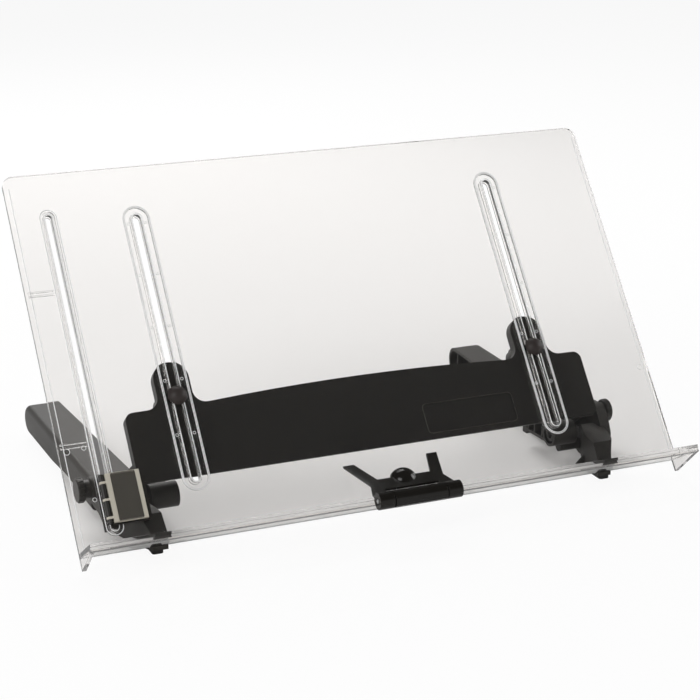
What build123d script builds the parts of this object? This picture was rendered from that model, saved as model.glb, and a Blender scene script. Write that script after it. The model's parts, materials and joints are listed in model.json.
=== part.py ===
from build123d import *
import os
from math import cos, radians, sin

os.makedirs("parts", exist_ok=True)

# Sizes in millimetres. X is to the right, Y to the rear and Z up; the desk is Z = 0.
# Panel sizes are in the panel's own directions: x across, u up the slope, n out of its front.
lean = 52.0
panel_rise = 2.0
front_y = -120.755

panel_width = 457.0
panel_height = 287.6
sheet_thickness = 3.0
corner_radius = 8.0
ledge_depth = 36.4
ledge_root = 8.5
ledge_drop = 2.9
bead_depth = 3.8
bead_height = 5.0

track_x = 139.0
track_bottom = 41.4
track_top = 255.5
track_width = 19.6
slot_inset = 6.7
slot_width = 6.0
rib_width = 1.5
rib_height = 1.2
rear_rail_height = 1.7

guide_x = -panel_width / 2 + 27.0
guide_bottom = 19.6
guide_top = 258.9
guide_width = 12.0
guide_inset = 4.0
guide_slot_width = 4.6
mark_x = -panel_width / 2 + 11.0
mark_length = 18.0
mark_width = 1.0
mark_half_pitch = 1.4
mark_us = (85.5, 196.6)
guide_bar_u = 140.6

seat_gap = 0.3
running_gap = 0.06
bolt_radius = 2.5
bolt_gap = 0.1

bar_end_reach = 38.5
bar_half_length = track_x + bar_end_reach
bar_bottom = 53.0
bar_end_top = 104.0
bar_arch_start = 115.0
bar_arch_rise = 4.7
bar_depth = 8.0
bar_edge = 1.5
bar_draft = 3.2
bar_wall = 2.6
ear_top = 137.5
ear_width = 25.7
ear_fillet = 9.0
end_corner_radius = 6.0
height_bolt_u = ear_top - 27.0
bolt_boss_radius = 8.0
bolt_boss_stand = 2.0
label_x = 76.0
label_u = 68.8
label_length = 72.0
label_height = 22.4
label_depth = 0.8

dome_radius = 7.0
dome_height = 4.8
neck_height = 3.0
neck_flat_half = 1.3
washer_radius = 8.0
washer_thickness = 1.2
height_knob_radius = 11.0
height_knob_length = 14.0

tilt_back = 76.5
tilt_up = 27.5
lug_inner_x = bar_half_length - 9.0
lug_width = 6.5
lug_radius = 9.0
lug_root_top = 71.0
tilt_head_radius = 5.2
tilt_head_length = 4.6
barrel_radius = 8.5
barrel_end_x = bar_half_length + 23.5
tilt_knob_radius = 8.8
tilt_knob_neck_radius = 6.6
tilt_knob_neck_length = 4.6
tilt_knob_disc_length = 5.0

boss_y = 52.6
boss_up = 24.5
boss_radius = 9.0
boss_inner_x = bar_half_length - 31.3
boss_outer_x = bar_half_length - 11.5
arm_x = bar_half_length - 27.5
arm_width = 8.0
arm_wall = 2.4
arm_low = 13.0
arm_rib_steps = (16, 28, 38)
boss_pocket = 12.0
cross_tube_y = 62.0
cross_tube_up = 10.0
cross_tube_radius = 4.0

leg_start_y = 94.0
leg_end_y = 279.0
leg_top = 26.5
leg_bottom = 3.0
leg_end_radius = (leg_top - leg_bottom) / 2
leg_edge_radius = 4.5
leg_wall = 2.6
leg_rib = 2.0
leg_rib_count = 6
leg_arch_radius = 400.0
leg_arch_rise = 5.0
leg_inner_front_x = bar_half_length - 14.0
leg_inner_rear_x = bar_half_length - 4.1
leg_outer_front_x = bar_half_length + 18.5
leg_outer_rear_x = bar_half_length + 21.5
cheek_width = 8.0
cheek_top = 39.5
cheek_front_y = 44.0
cheek_hump_front_y = 59.0
cheek_hump_rear_y = 71.0
cheek_rear_y = 90.0
instep_y = 76.0
heel_y = 60.0
block_inner_x = lug_inner_x + lug_width + 2.0
toe_front_y = 10.8
toe_slope_up = 12.5
toe_top_y = 21.5
toe_gusset_y = 38.0
toe_gusset_reach = 14.0
toe_top = 25.5
toe_back_y = 66.0
toe_back_up = 16.0

pad_thickness = 3.0
pad_width = 8.0
pad_length = 14.0
pad_stem_radius = 2.0
pad_stem_length = 3.0
pad_fit_gap = 0.05

clip_x = 0.5
clip_half_length = 31.0
clip_centre_half = 19.5
clip_knuckle_gap = 0.6
clip_barrel_radius = 6.0
clip_pin_radius = 1.5
clip_wall = 1.6
clip_plate = 1.8
arm_lean = -42.4
arm_reach = 49.5
arm_root = 3.0
arm_shoulder = 9.0
arm_notch = 26.0
arm_notch_half = 20.0
arm_tip_outer = 36.0
arm_tip_inner = 27.8
arm_waist = 20.0
arm_waist_half = 27.5
clip_window_top = 12.2
thumb_dome_radius = 9.6
thumb_dome_height = 6.5

flap_left_x = guide_x - 3.1
flap_right_x = guide_x + 23.0
slider_right_x = flap_right_x + 3.0
slider_corner_radius = 3.0
slider_plate = 1.4
flap_bottom = 27.2
flap_top = 61.4
flap_thickness = 2.6
flap_lift = 3.4
flap_border = 1.2
flap_hinge_radius = 1.9
flap_pin_radius = 0.8
knurl_pad_left_x = flap_left_x + 6.0
knurl_pad_right_x = flap_right_x - 2.9
flap_arm_us = (31.0, 43.6, 55.6)
flap_arm_half = 0.85
knurl_pad_depth = 1.0

panel_plane = Plane(
    origin=(0, front_y, panel_rise),
    x_dir=(1, 0, 0),
    z_dir=(0, -sin(radians(lean)), cos(radians(lean))),
)


def on_panel(shape):
    """Moves a shape drawn in x, u, n onto the leaning panel."""
    return panel_plane.location * shape


def block(x0, x1, y0, y1, z0, z1):
    """A box between two corners."""
    box = Box(x1 - x0, y1 - y0, z1 - z0)
    return Pos((x0 + x1) / 2, (y0 + y1) / 2, (z0 + z1) / 2) * box


def oval(width, bottom, top, x, low, high):
    """An upright oval bar in panel directions, from n = low to n = high."""
    face = SlotOverall(top - bottom, width, rotation=90)
    return Pos(x, (bottom + top) / 2, low) * extrude(face, high - low)


def round_bar(radius, x0, x1, y, z):
    """A round bar along X."""
    bar = Rot(0, 90, 0) * Cylinder(radius, x1 - x0)
    return Pos((x0 + x1) / 2, y, z) * bar


def side_prism(points, x0, x1):
    """A side view outline in Y and Z, stretched from x0 to x1."""
    face = Plane.YZ * make_face(Polyline(*points, close=True))
    return Pos(x0, 0, 0) * extrude(face, x1 - x0)


def plan_prism(points, z0, z1):
    """A plan outline in X and Y, stretched from z0 to z1."""
    face = make_face(Polyline(*points, close=True))
    return Pos(0, 0, z0) * extrude(face, z1 - z0)


def save(shape, name):
    """Writes one piece."""
    export_step(shape, "parts/" + name + ".step")


def save_pair(shape, name):
    """Writes a right-hand piece and its mirror image."""
    save(shape, "right_" + name)
    save(mirror(shape, Plane.YZ), "left_" + name)


def oval_track(x, width, bottom, top, inset, slot):
    """Raised rims of a slotted track, front and rear, and the slot that goes through."""
    high = sheet_thickness + rib_height
    rim = oval(width, bottom, top, x, 0.5, high)
    rim -= oval(width - 2 * rib_width, bottom + rib_width, top - rib_width, x, 0, high + 1)
    lip_width = slot + 2 * rib_width
    lip = oval(lip_width, bottom + inset - rib_width, top - inset + rib_width, x, 0.5, high)
    rail_top = top - inset + rib_width
    rail = oval(lip_width, bottom + inset - rib_width, rail_top, x, -rear_rail_height, 1)
    cut = oval(slot, bottom + inset, top - inset, x, -5, high + 5)
    return rim + lip + rail, cut


def clear_panel():
    """The clear panel with its ledge, end gussets, tracks and marks, in one piece."""
    half = panel_width / 2
    top = ledge_root + ledge_drop
    sheet = block(-half, half, ledge_root, panel_height, 0, sheet_thickness)
    corners = sheet.edges().filter_by(Axis.Z).group_by(Axis.Y)[-1]
    sheet = fillet(corners, corner_radius)
    tip_low = top - bead_height - ledge_drop
    ledge_points = [
        (ledge_root, 0),
        (top, 0),
        (top, sheet_thickness),
        (ledge_root, ledge_depth),
        (tip_low, ledge_depth - 1.1),
        (tip_low, ledge_depth - 1.1 - bead_depth),
        (tip_low + bead_height - sheet_thickness, ledge_depth - 1.1 - bead_depth),
    ]
    panel = sheet + side_prism(ledge_points, -half, half)
    gusset_points = [(0, 0), (tip_low, ledge_depth - 1.1), (ledge_root, sheet_thickness)]
    gusset_points.append((ledge_root, 0))
    gusset = side_prism(gusset_points, half - sheet_thickness, half)
    panel += gusset
    panel += mirror(gusset, Plane.YZ)
    for x in (-track_x, track_x):
        raised, cut = oval_track(x, track_width, track_bottom, track_top, slot_inset, slot_width)
        panel += raised
        panel -= cut
    raised, cut = oval_track(
        guide_x, guide_width, guide_bottom, guide_top, guide_inset, guide_slot_width
    )
    low_u = guide_bar_u - rib_width / 2
    half_guide = guide_width / 2
    raised += block(
        guide_x - half_guide, guide_x + half_guide, low_u, low_u + rib_width,
        sheet_thickness - rib_height, sheet_thickness + rib_height
    )
    panel += raised
    panel -= cut
    half_mark = mark_length / 2
    high = sheet_thickness + rib_height
    for u in mark_us:
        for middle in (u - mark_half_pitch, u + mark_half_pitch):
            low_u = middle - mark_width / 2
            panel += block(mark_x - half_mark, mark_x + half_mark, low_u, low_u + mark_width, 1, high)
    return on_panel(panel)


def bar_outline():
    """The crossbar's front outline: straight foot, arched top, an ear over each bolt."""
    rise = bar_end_top + bar_arch_rise
    left = (-bar_half_length, bar_bottom)
    right = (bar_half_length, bar_bottom)
    start = bar_end_top + 1
    edge = Line(left, right)
    edge += Line(right, (bar_half_length, bar_end_top))
    edge += Line((bar_half_length, bar_end_top), (bar_arch_start, start))
    edge += ThreePointArc((bar_arch_start, start), (0, rise), (-bar_arch_start, start))
    edge += Line((-bar_arch_start, start), (-bar_half_length, bar_end_top))
    edge += Line((-bar_half_length, bar_end_top), left)
    return make_face(edge)


def crossbar():
    """The black bar behind the panel, hollow from the rear, with a lug at each end."""
    front = -rear_rail_height - seat_gap
    back = front - bar_depth
    bar = Pos(0, 0, back) * extrude(bar_outline(), bar_depth)
    for x in (-track_x, track_x):
        bar += oval(ear_width, bar_bottom + 10, ear_top, x, back, front)
    tall = bar.edges().filter_by(Axis.Z)
    inner = [e for e in tall if bar_end_top - 2 < e.center().Y < ear_top - 12]
    joints = [e for e in inner if abs(abs(abs(e.center().X) - track_x) - ear_width / 2) < 0.5]
    bar = fillet(joints, ear_fillet)
    bar = fillet(
        [
            e
            for e in bar.edges().filter_by(Axis.Z)
            if abs(e.center().X) > bar_half_length - 1
        ],
        end_corner_radius,
    )
    foot = [
        (bar_bottom - 1, front - bar_edge),
        (bar_bottom, front - bar_edge),
        (bar_bottom + bar_draft, back),
        (bar_bottom + bar_draft, back - 1),
        (bar_bottom - 1, back - 1),
    ]
    bar -= side_prism(foot, -bar_half_length - 1, bar_half_length + 1)
    pocket_depth = bar_depth - bar_wall
    span = track_x - ear_width / 2 - 12
    cell = (2 * span - 7 * bar_wall) / 6
    for index in range(6):
        x0 = -span + bar_wall + index * (cell + bar_wall)
        y0 = bar_bottom + bar_draft + bar_wall
        y1 = bar_end_top - bar_wall
        bar -= block(x0, x0 + cell, y0, y1, back - 1, back + pocket_depth)
    for x in (-track_x, track_x):
        bar += Pos(x, height_bolt_u, back) * Cylinder(
            bolt_boss_radius, 2 * bolt_boss_stand
        )
        bar -= Pos(x, height_bolt_u, back) * Cylinder(bolt_radius + bolt_gap, 4 * bar_depth)
    pad = RectangleRounded(label_length, label_height, 3)
    bar -= Pos(label_x, label_u, front - label_depth) * extrude(pad, 5)
    bar = on_panel(bar)
    lug = side_lug(back)
    bar += lug
    bar += mirror(lug, Plane.YZ)
    return bar


def side_lug(back):
    """A lug from the bar's rear face to the tilt axis, right-hand side."""
    low = panel_plane.from_local_coords((0, bar_bottom + 5, back + 2))
    high = panel_plane.from_local_coords((0, lug_root_top, back + 2))
    y = front_y + tilt_back
    points = [(low.Y, low.Z), (high.Y, high.Z)]
    points.append((y + lug_radius * 0.95, tilt_up + lug_radius * 0.3))
    points.append((y - lug_radius * 0.49, tilt_up - lug_radius * 0.87))
    lug = side_prism(points, lug_inner_x, lug_inner_x + lug_width)
    lug += round_bar(lug_radius, lug_inner_x, lug_inner_x + lug_width, y, tilt_up)
    hole = bolt_radius + bolt_gap
    lug -= round_bar(hole, lug_inner_x - 1, lug_inner_x + lug_width + 1, y, tilt_up)
    return lug


def height_bolt(x):
    """A domed bolt through a track: dome in front, square neck in the slot."""
    seat = sheet_thickness + rib_height + seat_gap
    sphere_radius = (dome_radius**2 + dome_height**2) / (2 * dome_height)
    cap = Pos(0, 0, seat + dome_height - sphere_radius) * Sphere(sphere_radius)
    cap &= Pos(0, 0, seat) * Cylinder(
        2 * dome_radius, dome_height, align=(Align.CENTER, Align.CENTER, Align.MIN)
    )
    neck_width = slot_width - 2 * seat_gap
    neck = Pos(0, 0, seat - neck_height / 2) * Box(neck_width, neck_width, neck_height)
    neck = fillet(neck.edges().filter_by(Axis.Z), neck_width / 2 - neck_flat_half)
    end = knob_start() - height_knob_length + 3
    shaft = Pos(0, 0, (seat + end) / 2) * Cylinder(bolt_radius, seat - end)
    return on_panel(Pos(x, height_bolt_u, 0) * (cap + neck + shaft))


def knob_start():
    """Where a height knob begins behind the bar, in n."""
    back = -rear_rail_height - seat_gap - bar_depth - bolt_boss_stand
    return back - washer_thickness - 2 * bolt_gap


def height_washer(x):
    """A flat washer between the bar's boss and the knob."""
    ring = Cylinder(washer_radius, washer_thickness)
    ring -= Cylinder(bolt_radius + bolt_gap, 3 * washer_thickness)
    centre = knob_start() + bolt_gap + washer_thickness / 2
    return on_panel(Pos(x, height_bolt_u, centre) * ring)


def height_knob(x):
    """A lobed hand knob with a blind hole."""
    start = knob_start()
    body = Pos(0, 0, start - height_knob_length / 2) * Cylinder(
        height_knob_radius, height_knob_length
    )
    body = fillet(body.edges().sort_by(Axis.Z)[0], 2)
    for index in range(8):
        groove = Pos(height_knob_radius + 1.0, 0, start - height_knob_length + 2)
        cutter = groove * Cylinder(2.2, 2 * height_knob_length - 8)
        body -= Rot(0, 0, index * 45) * cutter
    depth = height_knob_length - 2.5
    body -= Pos(0, 0, start - depth / 2 + 1) * Cylinder(bolt_radius + running_gap, depth + 2)
    return on_panel(Pos(x, height_bolt_u, 0) * body)


def leg():
    """One moulded foot and leg, right-hand side."""
    axis_y = front_y + tilt_back
    body = leg_beam() - leg_hollow()
    for rib in leg_ribs():
        body += rib
    body += cheek()
    body += toe_block()
    body += round_bar(barrel_radius, block_inner_x, barrel_end_x, axis_y, tilt_up)
    body += inner_arm()
    bridge_y = front_y + leg_start_y
    body += block(arm_x, leg_inner_front_x + 6, bridge_y, bridge_y + 6, leg_bottom + 8, leg_top)
    body += front_boss()
    tube_y = front_y + cross_tube_y
    tube_x = boss_outer_x - 6
    body += round_bar(cross_tube_radius, tube_x, block_inner_x + 3, tube_y, cross_tube_up)
    web = [
        (tube_y - cross_tube_radius, cross_tube_up),
        (tube_y - cross_tube_radius, boss_up - 4),
        (tube_y + 3, boss_up - 4),
        (tube_y + 3, cross_tube_up),
    ]
    body += side_prism(web, tube_x + 1, tube_x + 1 + arm_wall)
    body += toe_gusset()
    bore = bolt_radius + bolt_gap
    body -= round_bar(bore, block_inner_x - 1, barrel_end_x + 1, axis_y, tilt_up)
    stem = pad_stem_radius + pad_fit_gap
    for x, y in pad_points():
        body -= Pos(x, y, leg_bottom) * Cylinder(stem, 2 * (pad_stem_length + 0.3))
    return body


def leg_side(inset):
    """The leg's side view in Y and Z, with a round rear end, drawn in by an inset."""
    radius = leg_end_radius - inset
    y0 = front_y + leg_start_y + inset
    centre_y = front_y + leg_end_y - leg_end_radius
    centre_z = leg_bottom + leg_end_radius
    x0 = arm_x
    x1 = barrel_end_x + leg_wall
    side = block(x0, x1, y0, centre_y, centre_z - radius, centre_z + radius)
    return side + round_bar(radius, x0, x1, centre_y, centre_z)


def leg_beam():
    """The leg from the cheek to its rear end, with rounded outer edges and a low arch below."""
    y0 = front_y + leg_start_y
    y1 = front_y + leg_end_y
    plan = [
        (leg_inner_front_x, y0),
        (leg_outer_front_x, y0),
        (leg_outer_rear_x, y1),
        (leg_inner_rear_x, y1),
    ]
    beam = plan_prism(plan, leg_bottom - 1, leg_top + 1) & leg_side(0)
    middle_x = (leg_inner_rear_x + leg_outer_front_x) / 2
    outer = [
        e
        for e in beam.edges()
        if e.center().X > middle_x and y0 + 1 < e.center().Y and abs(e.tangent_at(0.5).X) < 0.5
    ]
    beam = fillet(outer, leg_edge_radius)
    arch_z = leg_bottom + leg_arch_rise - leg_arch_radius
    arch_y = front_y + leg_start_y + 60
    return beam - round_bar(leg_arch_radius, arm_x, barrel_end_x, arch_y, arch_z)


def leg_hollow():
    """The leg's hollow, open on the inner side."""
    y0 = front_y + leg_start_y + leg_wall
    y1 = front_y + leg_end_y
    plan = [
        (leg_inner_front_x - 5, y0),
        (leg_outer_front_x - leg_wall, y0),
        (leg_outer_rear_x - leg_wall, y1),
        (leg_inner_front_x - 5, y1),
    ]
    hollow = plan_prism(plan, leg_bottom - 1, leg_top + 1) & leg_side(leg_wall)
    arch_z = leg_bottom + leg_arch_rise + leg_wall - leg_arch_radius
    arch_y = front_y + leg_start_y + 60
    return hollow - round_bar(leg_arch_radius, arm_x, barrel_end_x, arch_y, arch_z)


def leg_ribs():
    """Upright cross ribs in the leg's hollow, set back from its open side."""
    pitch = (leg_end_y - leg_end_radius - leg_start_y) / leg_rib_count
    beam = leg_beam()
    ribs = []
    for index in range(leg_rib_count):
        y = front_y + leg_start_y + (index + 1) * pitch
        inner = leg_inner_rear_x + leg_rib
        strip = block(inner, barrel_end_x, y - leg_rib, y, leg_bottom, leg_top)
        ribs.append(beam & strip)
    return ribs


def inner_arm():
    """The thin ribbed arm that runs forward on the inner side to the front boss."""
    boss_at = front_y + boss_y
    end_y = front_y + leg_start_y
    low = arm_low
    outline = [
        (boss_at, low + 2),
        (boss_at, boss_up + boss_radius - 3),
        (end_y + 6, leg_top),
        (end_y + 6, low),
    ]
    plate = side_prism(outline, arm_x, arm_x + arm_width)
    pocket = [
        (boss_at + 4, low + 2 + arm_wall),
        (boss_at + 4, boss_up + boss_radius - 3 - arm_wall),
        (end_y + 2, leg_top - arm_wall),
        (end_y + 2, low + arm_wall),
    ]
    plate -= side_prism(pocket, arm_x - 1, arm_x + arm_width - arm_wall)
    for step in arm_rib_steps:
        rib_y = boss_at + step
        plate += block(arm_x, arm_x + arm_width, rib_y, rib_y + leg_rib, low + 2, leg_top - 2)
    return plate


def front_boss():
    """The round boss in front of the arm: a rim round a ring round a small hole."""
    boss_at = front_y + boss_y
    outer = boss_inner_x + boss_pocket
    boss = round_bar(boss_radius, boss_inner_x, boss_outer_x, boss_at, boss_up)
    boss -= round_bar(boss_radius - 2, boss_inner_x - 1, outer, boss_at, boss_up)
    boss += round_bar(boss_radius - 4, boss_inner_x + 1, outer + 1, boss_at, boss_up)
    return boss - round_bar(boss_radius - 6, boss_inner_x, outer, boss_at, boss_up)


def cheek():
    """The outer plate that carries the tilt barrel, with a humped top."""
    points = [
        (front_y + cheek_front_y, leg_bottom + 5),
        (front_y + cheek_front_y + 1.6, cheek_top - 17.5),
        (front_y + cheek_front_y + 5, cheek_top - 10.5),
        (front_y + cheek_front_y + 10, cheek_top - 3),
        (front_y + cheek_hump_front_y, cheek_top),
        (front_y + cheek_hump_rear_y, cheek_top),
        (front_y + cheek_rear_y, leg_top + 3),
        (front_y + leg_start_y + 5, leg_top),
        (front_y + leg_start_y + 5, leg_bottom + 7),
        (front_y + instep_y, leg_bottom + 6),
        (front_y + heel_y, leg_bottom + 1),
    ]
    outer = leg_outer_front_x
    plate = side_prism(points, outer - cheek_width, outer)
    return plate


def toe_block():
    """The front foot: flat on top, curving inwards to a narrow toe."""
    side = [
        (front_y + toe_front_y, leg_bottom),
        (front_y + toe_front_y, toe_slope_up),
        (front_y + toe_top_y, toe_top),
        (front_y + cheek_hump_front_y, toe_top + 0.5),
        (front_y + toe_back_y, toe_back_up),
        (front_y + leg_start_y + 4, toe_back_up),
        (front_y + leg_start_y + 4, leg_bottom + 7),
        (front_y + instep_y, leg_bottom + 6),
        (front_y + heel_y, leg_bottom),
    ]
    outer_x = leg_outer_front_x - 1
    inner_x = block_inner_x
    tip = (inner_x - 0.3, front_y + toe_front_y)
    plan = Polyline(
        (inner_x, front_y + leg_start_y + 5),
        (inner_x, front_y + cheek_hump_front_y - 2),
        (inner_x - 6.5, front_y + cheek_front_y - 0.5),
        (inner_x - 9, front_y + toe_top_y + 9.5),
        (inner_x - 11.4, front_y + toe_front_y),
        tip,
    )
    curve = Spline(
        tip,
        (inner_x + 6.6, front_y + toe_front_y + 13),
        (inner_x + 12.3, front_y + cheek_front_y - 3),
        (outer_x, front_y + toe_back_y),
        tangents=((0.3, 1), (0.05, 1)),
    )
    closing = Polyline(
        (outer_x, front_y + toe_back_y),
        (outer_x, front_y + leg_start_y + 5),
        (block_inner_x, front_y + leg_start_y + 5),
    )
    face = make_face(plan + curve + closing)
    return extrude(face, 2 * cheek_top) & side_prism(side, arm_x, barrel_end_x)


def toe_gusset():
    """A three-cornered web on the inner side of the toe."""
    corners = [
        (block_inner_x - toe_gusset_reach, leg_bottom),
        (block_inner_x, leg_bottom),
        (block_inner_x, toe_back_up),
    ]
    face = Plane.XZ * make_face(Polyline(*corners, close=True))
    web = extrude(face, arm_wall)
    return Pos(0, front_y + toe_gusset_y + arm_wall, 0) * web


def pad_points():
    """Centres of the front and rear pads, right-hand side."""
    toe = (block_inner_x - 4.5, front_y + toe_front_y + 8.2)
    rear_x = (leg_inner_rear_x + leg_outer_rear_x) / 2 - 1
    rear_y = front_y + leg_end_y - leg_end_radius - pad_length / 2
    return [toe, (rear_x, rear_y)]


def pad(x, y):
    """A rubber pad with a stem that is pushed into the foot."""
    face = RectangleRounded(pad_width, pad_length, 2)
    body = Pos(x, y, 0) * extrude(face, pad_thickness)
    stem = Pos(x, y, pad_thickness) * Cylinder(pad_stem_radius, 2 * pad_stem_length)
    stem &= block(x - 9, x + 9, y - 9, y + 9, 1, pad_thickness + pad_stem_length)
    return body + stem


def tilt_bolt():
    """A hexagon-headed bolt along the tilt axis, right-hand side."""
    y = front_y + tilt_back
    face = RegularPolygon(tilt_head_radius, 6)
    head = Rot(0, 90, 0) * extrude(face, tilt_head_length)
    head = Pos(lug_inner_x - tilt_head_length, y, tilt_up) * head
    end = barrel_end_x + tilt_knob_neck_length + 2
    return head + round_bar(bolt_radius, lug_inner_x - 1, end, y, tilt_up)


def tilt_washer():
    """A friction washer between the lug and the barrel, right-hand side."""
    y = front_y + tilt_back
    x0 = lug_inner_x + lug_width + bolt_gap
    x1 = block_inner_x - bolt_gap
    ring = round_bar(washer_radius, x0, x1, y, tilt_up)
    return ring - round_bar(bolt_radius + bolt_gap, x0 - 1, x1 + 1, y, tilt_up)


def tilt_knob():
    """A grooved round knob at the end of the tilt bolt, right-hand side."""
    y = front_y + tilt_back
    x0 = barrel_end_x + seat_gap
    x1 = x0 + tilt_knob_neck_length
    x2 = x1 + tilt_knob_disc_length
    knob = round_bar(tilt_knob_neck_radius, x0, x1 + 1, y, tilt_up)
    disc = round_bar(tilt_knob_radius, x1, x2, y, tilt_up)
    disc = chamfer(disc.edges().filter_by(GeomType.CIRCLE), 0.8)
    for index in range(12):
        cutter = Pos(0, tilt_knob_radius + 0.5, 0) * Rot(0, 90, 0) * Cylinder(1.0, 20)
        disc -= Pos((x1 + x2) / 2, y, tilt_up) * (Rot(index * 30, 0, 0) * cutter)
    knob += disc
    return knob - round_bar(bolt_radius + running_gap, x0 - 1, x1 + 2.5, y, tilt_up)


def clip_axis():
    """The page clip's hinge axis, as u and n."""
    tip_low = ledge_root - bead_height
    return tip_low, ledge_depth + seat_gap + clip_barrel_radius


def page_clip_base():
    """The slider on the ledge's bead with the middle knuckle."""
    u, n = clip_axis()
    tip_low = ledge_root - bead_height
    bead_back = ledge_depth - 1.1 - bead_depth
    half = clip_centre_half
    x0 = clip_x - half
    x1 = clip_x + half
    slider = [
        (u - clip_barrel_radius, n - 1.0),
        (u - clip_barrel_radius, n + 2.4),
        (u - clip_barrel_radius + 1.2, n + 3.4),
        (u, n + 3.4),
        (u, ledge_depth + seat_gap),
        (tip_low - seat_gap, ledge_depth - 1.1 + seat_gap),
        (tip_low - seat_gap, bead_back - seat_gap),
        (tip_low + 1.2, bead_back - seat_gap),
        (tip_low + 1.2, bead_back - seat_gap - clip_wall),
        (tip_low - seat_gap - clip_wall, bead_back - seat_gap - clip_wall),
    ]
    slider.append((tip_low - seat_gap - clip_wall, ledge_depth))
    base = side_prism(slider, x0, x1)
    base += round_bar(clip_barrel_radius, x0, x1, u, n)
    base += side_prism(
        [
            (ledge_root - 3, ledge_depth + seat_gap),
            (ledge_root + seat_gap, ledge_depth + seat_gap),
            (ledge_root + seat_gap + 0.5, ledge_depth - 6),
            (ledge_root + seat_gap + 0.5 + clip_wall, ledge_depth - 6),
            (ledge_root + seat_gap + clip_wall, ledge_depth + 1.5),
            (ledge_root - 3, n),
        ],
        x0,
        x1,
    )
    base -= round_bar(clip_pin_radius + running_gap, x0 - 1, x1 + 1, u, n)
    return on_panel(base)


def page_clip_arm():
    """The flap with two arms, a thumb dome and the two end knuckles."""
    u, n = clip_axis()
    inner = clip_centre_half + clip_knuckle_gap
    right_half = [
        (arm_notch_half, arm_notch),
        (arm_tip_inner, arm_reach),
        (arm_tip_outer, arm_reach),
        (arm_waist_half, arm_waist),
        (clip_half_length, arm_shoulder),
        (clip_half_length, arm_root),
    ]
    left_half = [(-x, reach) for x, reach in reversed(right_half)]
    face = make_face(Polyline(*left_half, *right_half, close=True))
    plate = extrude(face, clip_plate)
    plate -= block(-inner, inner, arm_root - 1, clip_window_top, -1, clip_plate + 1)
    sphere_radius = (thumb_dome_radius**2 + thumb_dome_height**2) / (2 * thumb_dome_height)
    dome = Pos(0, arm_notch, thumb_dome_height - sphere_radius) * Sphere(sphere_radius)
    dome &= Pos(0, arm_notch, 0) * Cylinder(
        thumb_dome_radius, thumb_dome_height, align=(Align.CENTER, Align.CENTER, Align.MIN)
    )
    plate += dome
    arm = Rot(arm_lean, 0, 0) * (Pos(0, 0, -clip_plate / 2) * plate)
    for x0, x1 in ((-clip_half_length, -inner), (inner, clip_half_length)):
        arm += round_bar(clip_barrel_radius, x0, x1, 0, 0)
    bore = clip_pin_radius + bolt_gap
    arm -= round_bar(bore, -clip_half_length - 1, clip_half_length + 1, 0, 0)
    return on_panel(Pos(clip_x, u, n) * arm)


def page_clip_pin():
    """The page clip's hinge pin."""
    u, n = clip_axis()
    half = clip_half_length
    return on_panel(round_bar(clip_pin_radius, clip_x - half, clip_x + half, u, n))


def flap_axis():
    """The side clip's hinge axis, as x and n."""
    return flap_left_x, sheet_thickness + rib_height + seat_gap + flap_hinge_radius


def upright_bar(radius, x, n, u0, u1):
    """A round bar along the panel's slope."""
    bar = Rot(90, 0, 0) * Cylinder(radius, u1 - u0)
    return Pos(x, (u0 + u1) / 2, n) * bar


def knuckle_spans():
    """The slider's hinge knuckles, between the flap's narrow hinge arms."""
    spans = []
    start = flap_bottom
    for u in flap_arm_us:
        spans.append((start, u - flap_arm_half - seat_gap))
        start = u + flap_arm_half + seat_gap
    spans.append((start, flap_top))
    return spans


def side_clip_slider():
    """The slider in the guide slot: a back plate, a rear foot and its hinge knuckles."""
    x, n = flap_axis()
    face_n = sheet_thickness + rib_height + seat_gap
    tongue_width = guide_slot_width - 2 * seat_gap
    tongue_low = -rear_rail_height - 1
    tongue = oval(tongue_width, flap_bottom - 3, flap_top, guide_x, tongue_low, face_n)
    rear = block(
        guide_x - 6, guide_x + 6, flap_bottom - 3, flap_top,
        -rear_rail_height - seat_gap - clip_wall, -rear_rail_height - seat_gap
    )
    plate = block(
        x + 2.5, slider_right_x, flap_bottom - 1, flap_top + 0.5, face_n - 0.1,
        face_n + slider_plate
    )
    right = plate.edges().filter_by(Axis.Z).group_by(Axis.X)[-1]
    plate = fillet(right, slider_corner_radius)
    plate -= block(x, slider_right_x + 1, 0, flap_top + 5, face_n - 1, face_n)
    body = tongue + rear + plate
    top_n = face_n + slider_plate
    for u0, u1 in knuckle_spans():
        body += upright_bar(flap_hinge_radius, x, n, u0, u1)
        body += block(x, x + 3.5, u0, u1, face_n, top_n)
    return on_panel(body - upright_bar(flap_pin_radius + bolt_gap, x, n, 0, 2 * flap_top))


def side_clip_flap():
    """The hinged flap with a tray for the gripping pad."""
    x, n = flap_axis()
    low = sheet_thickness + rib_height + seat_gap + slider_plate + seat_gap
    high = low + flap_thickness
    plate = block(x + 2.4, flap_right_x, flap_bottom, flap_top, low, high)
    plate -= block(
        knurl_pad_left_x, knurl_pad_right_x, flap_bottom + flap_border,
        flap_top - flap_border, high - knurl_pad_depth, high + 5
    )
    for u in flap_arm_us:
        u0 = u - flap_arm_half
        u1 = u + flap_arm_half
        plate += upright_bar(flap_hinge_radius, x, n, u0, u1)
        plate += block(x, x + 3, u0, u1, low, n + flap_hinge_radius)
    return on_panel(plate - upright_bar(flap_pin_radius + running_gap, x, n, 0, 2 * flap_top))


def side_clip_pad():
    """The ribbed gripping pad on the flap."""
    base = sheet_thickness + rib_height + 2 * seat_gap + slider_plate
    low = base + flap_thickness - knurl_pad_depth
    pad_body = block(
        knurl_pad_left_x + bolt_gap, knurl_pad_right_x - bolt_gap,
        flap_bottom + flap_border + bolt_gap, flap_top - flap_border - bolt_gap,
        low, low + knurl_pad_depth
    )
    return on_panel(pad_body)


def side_clip_pin():
    """The side clip's hinge pin."""
    x, n = flap_axis()
    return on_panel(upright_bar(flap_pin_radius, x, n, flap_bottom, flap_top))


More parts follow.
